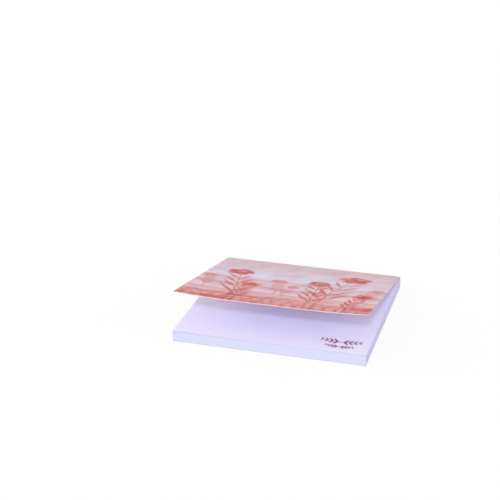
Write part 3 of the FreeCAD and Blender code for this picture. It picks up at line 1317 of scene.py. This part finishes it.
    def build(self, paper: NotePaper) -> None:
        """Builds and dresses the notes, and sets them on the pad's body.

        Args:
            paper: Their finish.
        """
        face = paper.sheet("note_face", paper.face)
        cut = paper.sheet("note_cut_edge", paper.cut)
        printed = paper.sheet("top_note_face", paper.face, self.garland())
        stack = self.stack()
        under = joined([self.lifted(order) for order in range(1, self.lifting)])
        under = under.into_object("notes_under_top")
        top = self.lifted(0).into_object("top_note")
        for piece, front in ((stack, face), (under, face), (top, printed)):
            dress(piece, (front, face, cut))
            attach(piece, "pad")
            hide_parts("note_block")


@dataclass
class CardCover:
    """The folded strip of card, as two sheets that meet halfway up the spine.

    Attributes:
        sizes: Sizes of the pad.
        fold: Radius of a fold, at the middle of the card.
        bend: Length of card on each side of a crease; not used.
        fine: Length of card on each side of a crease with close rows.
        fine_rows: Number of those close rows.
        row_step: Distance between two rows elsewhere.
        columns: Points across the card.
    """

    sizes: PadSizes
    fold: float = 0.2 * MM
    bend: float = 0.5 * MM
    fine: float = 0.8 * MM
    fine_rows: int = 41
    row_step: float = 1.25 * MM
    columns: int = 61

    def path(self, start: tuple[float, float], heading: float, before: float, turn: float,
             after: float) -> tuple[np.ndarray, np.ndarray]:
        """A line in the pad's middle plane that runs straight, turns left on an arc and runs on.

        On the arc, the place is its centre plus the fold's radius times the
        sine and minus the cosine of the heading there.

        Args:
            start: Y and Z of its start.
            heading: Its first direction, in radians from Y towards Z.
            before: Distance from the start to the corner that the arc rounds.
            turn: Angle of the turn, in radians.
            after: Distance from that corner to the end.

        Returns:
            Its places as rows of Y and Z, and the distance of each from the corner.
        """
        cut = self.fold * math.tan(turn / 2)
        first, arc, last = before - cut, self.fold * turn, after - cut
        total = first + arc + last
        corner = first + arc / 2
        counts = [max(2, int(length / self.row_step)) for length in (before, after)]
        rows = np.unique(np.concatenate([
            np.linspace(0, max(corner - self.fine, 0), counts[0]),
            np.linspace(corner - self.fine, corner + self.fine, self.fine_rows).clip(0, total),
            np.linspace(min(corner + self.fine, total), total, counts[1]),
        ]).round(9))
        along = np.array([math.cos(heading), math.sin(heading)])
        aside = np.array([-along[1], along[0]])
        centre = np.array(start) + along * first + aside * self.fold
        angle = heading + (np.clip(rows - first, 0, arc) / self.fold)
        turned = centre + self.fold * np.stack([np.sin(angle), -np.cos(angle)], axis=1)
        ahead = np.minimum(rows - first, 0)[:, None] * along
        final = np.array([math.cos(heading + turn), math.sin(heading + turn)])
        beyond = np.maximum(rows - first - arc, 0)[:, None] * final
        return turned + ahead + beyond, rows - corner

    def sheet(self, places: np.ndarray, distance: np.ndarray, curl: float) -> Surface:
        """Carries a line across the pad, with its far end's corners curled up.

        The curl is an arc at each side, a radius less the root of the radius
        squared less the place along the curl squared, and it grows evenly from
        nothing at the crease to its full height at the front edge.

        Args:
            places: The line, as rows of Y and Z.
            distance: Distance of each place from the upper crease, along the card.
            curl: Height of the curl at the front edge.

        Returns:
            The closed sheet, with its UV map in shares of the panel.
        """
        sizes = self.sizes
        x = np.linspace(sizes.width / 2, -sizes.width / 2, self.columns)
        middle = np.zeros((len(places), self.columns, 3))
        middle[..., 0] = x[None, :]
        middle[..., 1:] = places[:, None, :]
        if curl:
            radius = (sizes.curl_width**2 + curl**2) / (2 * curl)
            out = np.clip(np.abs(x) - (sizes.width / 2 - sizes.curl_width), 0, None)
            rise = (radius - np.sqrt(radius**2 - out**2))[None, :]
            rise = rise * np.clip(distance / sizes.reach, 0, 1)[:, None]
            middle[..., 1] += rise * math.sin(sizes.opening)
            middle[..., 2] += rise * math.cos(sizes.opening)
        uv = np.stack(np.broadcast_arrays(
            x[None, :] / sizes.width + 0.5, distance[:, None] / sizes.reach), axis=-1)
        return sheet_solid(middle, sizes.card, uv)

    def build(self, card: CoverCard) -> None:
        """Builds and dresses both sheets, each folded round its crease.

        Args:
            card: Their finish.
        """
        sizes = self.sizes
        low, high = sizes.lower_crease, sizes.upper_crease
        spine = high[1] - low[1]
        seam = (low[1] + high[1]) / 2
        quarter = math.pi / 2
        places, distance = self.path(
            (sizes.front, low[1]), 0.0, sizes.reach, quarter, seam - low[1])
        back = self.sheet(places, distance - spine, 0.0).into_object("card_back")
        places, distance = self.path(
            (high[0], seam), quarter, high[1] - seam, quarter - sizes.opening, sizes.reach)
        panel = self.sheet(places, distance, sizes.corner_curl).into_object("card_front")
        finishes = (
            card.printed(),
            # the inside carries a painted glow on the front panel
            card.plain("card_inside", card.inside, card.inside, card.painted_glow),
            # the cut rim carries a painted shade on the back panel
            card.plain("card_cut_edge", card.cut, card.painted_rim_shade),
        )
        dress(back, finishes)
        dress(panel, finishes)
        low[0] - self.bend
        low[1] + self.bend
        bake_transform(back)
        rise = (math.cos(sizes.opening), math.sin(sizes.opening))
        high[1] - self.bend
        high[0] - self.bend * rise[0]
        high[1] + self.bend * rise[1]
        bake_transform(panel)
        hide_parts("back_cover", "spine")
        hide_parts("front_cover", "spine")


@dataclass
class Studio:
    """A white table under soft light, and the camera.

    The camera looks from an azimuth, counted from the pad's front towards its
    right, and an elevation, at a distance along that direction, and is then
    moved aside and up in its own picture plane.

    Attributes:
        azimuth: Its azimuth, in degrees.
        elevation: Its elevation, in degrees.
        roll: Its turn about its own axis, in degrees.
        distance: Its distance along its axis.
        aside: Its move to the right.
        up: Its move upwards.
        focal: Its focal length, in widths of the picture.
        sky: Light from all round, in red, green and blue.
        lamps: Name of each lamp, its share of the light on a surface that faces
            it, the direction towards it, and its apparent size in degrees.
        table_reach: Half the width of the table top.
        table_gap: Depth of the table top below the pad.
        table_colour: Colour of the table top.
        table_shade: Share of the lit table top in what the camera sees of it.
        white: Colour of the background, and of the other share of the table top.
    """

    azimuth: float = 15.62
    elevation: float = 22.24
    roll: float = 0.31
    distance: float = 522 * MM
    aside: float = -16.7 * MM
    up: float = 25.2 * MM
    focal: float = 2.602
    sky: tuple = (0.728, 0.669, 0.642, 1.0)
    lamps: tuple = (
        ("key_light", (0.22, 0.31, 0.39), (0.14, -0.83, 0.54), 4.5),
        ("low_front_light", (0.40, 0.415, 0.29), (0.10, -0.95, 0.22), 50.0),
        ("low_left_light", (0.43, 0.37, 0.20), (-0.9, -0.25, 0.3), 50.0),
        ("low_right_light", (0.24, 0.20, 0.12), (0.9, -0.25, 0.3), 50.0),
    )
    table_reach: float = 3.0
    table_gap: float = 0.02 * MM
    table_colour: tuple = (0.90, 0.90, 0.96, 1.0)
    table_shade: float = 0.15
    white: tuple = (1.0, 1.0, 1.0, 1.0)

    def table(self) -> None:
        """A white table top, which the camera sees mostly as plain white, with a faint shadow."""
        reach = self.table_reach
        corners = np.array([(-reach, -reach), (reach, -reach), (reach, reach), (-reach, reach)])
        points = np.column_stack([corners, np.full(4, -self.table_gap)])
        top = Surface(points, np.array([[0, 1, 2, 3]]), np.array([0])).into_object("table_top")
        material = bpy.data.materials.new("table_white")
        material.use_nodes = True
        material.node_tree.nodes.clear()
        nodes = Nodes(material.node_tree)
        lit = nodes.add("ShaderNodeBsdfDiffuse", {"Color": self.table_colour})
        white = nodes.add("ShaderNodeEmission", {"Color": self.white})
        own = self.seen(nodes) * (1.0 - self.table_shade)
        both = nodes.add("ShaderNodeMixShader", {0: own, 1: lit.outputs[0], 2: white.outputs[0]})
        nodes.add("ShaderNodeOutputMaterial", {0: both.outputs[0]})
        dress(top, (material,))

    @staticmethod
    def seen(nodes: Nodes) -> Value:
        """Whether a ray is the camera's, or a reflection's or a clear body's.

        Args:
            nodes: The nodes of a stage material or the world.

        Returns:
            1 for such a ray, and 0 for any other.
        """
        path = nodes.add("ShaderNodeLightPath").outputs
        clear = nodes.math("MAXIMUM", path["Is Glossy Ray"], path["Is Transmission Ray"])
        return nodes.math("MAXIMUM", path["Is Camera Ray"], clear)

    def world(self) -> None:
        """Even light from all round, in front of a white background."""
        world = bpy.data.worlds.new("studio_world")
        bpy.context.scene.world = world
        world.use_nodes = True
        nodes = Nodes(world.node_tree)
        background = world.node_tree.nodes["Background"].inputs
        nodes.feed(background["Color"], nodes.mix(self.seen(nodes), self.sky, self.white))
        nodes.feed(background["Strength"], 1.0)

    @staticmethod
    def lamp(name: str, light: tuple, towards: tuple, angle: float) -> None:
        """A lamp far away, whose light on a surface that faces it is given in colours.

        A colour of 1 lights a white surface that faces the lamp to white, which
        takes a strength of pi.

        Args:
            name: Name of the lamp.
            light: Its light, in red, green and blue.
            towards: Direction towards it.
            angle: Its apparent size, in degrees.
        """
        data = bpy.data.lights.new(name, "SUN")
        data.energy = math.pi * max(light)
        data.color = tuple(value / max(light) for value in light)
        data.angle = math.radians(angle)
        carrier = placed(name, data)
        carrier.rotation_euler = Vector(towards).to_track_quat("Z", "Y").to_euler()
        carrier.location = Vector(towards)

    def camera(self) -> None:
        """The camera, at the photograph's viewing angle."""
        azimuth, elevation = math.radians(self.azimuth), math.radians(self.elevation)
        back = Vector((math.sin(azimuth) * math.cos(elevation),
                       -math.cos(azimuth) * math.cos(elevation), math.sin(elevation)))
        level = Vector((math.cos(azimuth), math.sin(azimuth), 0.0))
        upright = back.cross(level)
        c, s = math.cos(math.radians(self.roll)), math.sin(math.radians(self.roll))
        right, up = level * c + upright * s, upright * c - level * s
        data = bpy.data.cameras.new("camera")
        data.sensor_width = 36.0
        data.lens = self.focal * data.sensor_width
        data.clip_start = 0.01
        camera = placed("camera", data)
        camera.matrix_world = Matrix.Translation(
            right * self.aside + up * self.up + back * self.distance
        ) @ Matrix((right, up, back)).transposed().to_4x4()
        bpy.context.scene.camera = camera

    def build(self) -> None:
        """Sets up the table, the light, the camera and plain colours."""
        self.table()
        self.world()
        for lamp in self.lamps:
            self.lamp(*lamp)
        self.camera()
        bpy.context.scene.view_settings.view_transform = "Standard"


def main() -> None:
    """Builds the pad, its finishes and the studio."""
    logging.basicConfig(level=logging.INFO, format="%(name)s: %(message)s")
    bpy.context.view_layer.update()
    sizes = PadSizes.from_frame()
    LOG.info("sizes %s", sizes)
    effects = PaperEffects()
    NoteBlock(sizes).build(NotePaper(effects))
    CardCover(sizes).build(CoverCard(effects, sizes.reach))
    Studio().build()


if __name__ == "__main__":
    main()
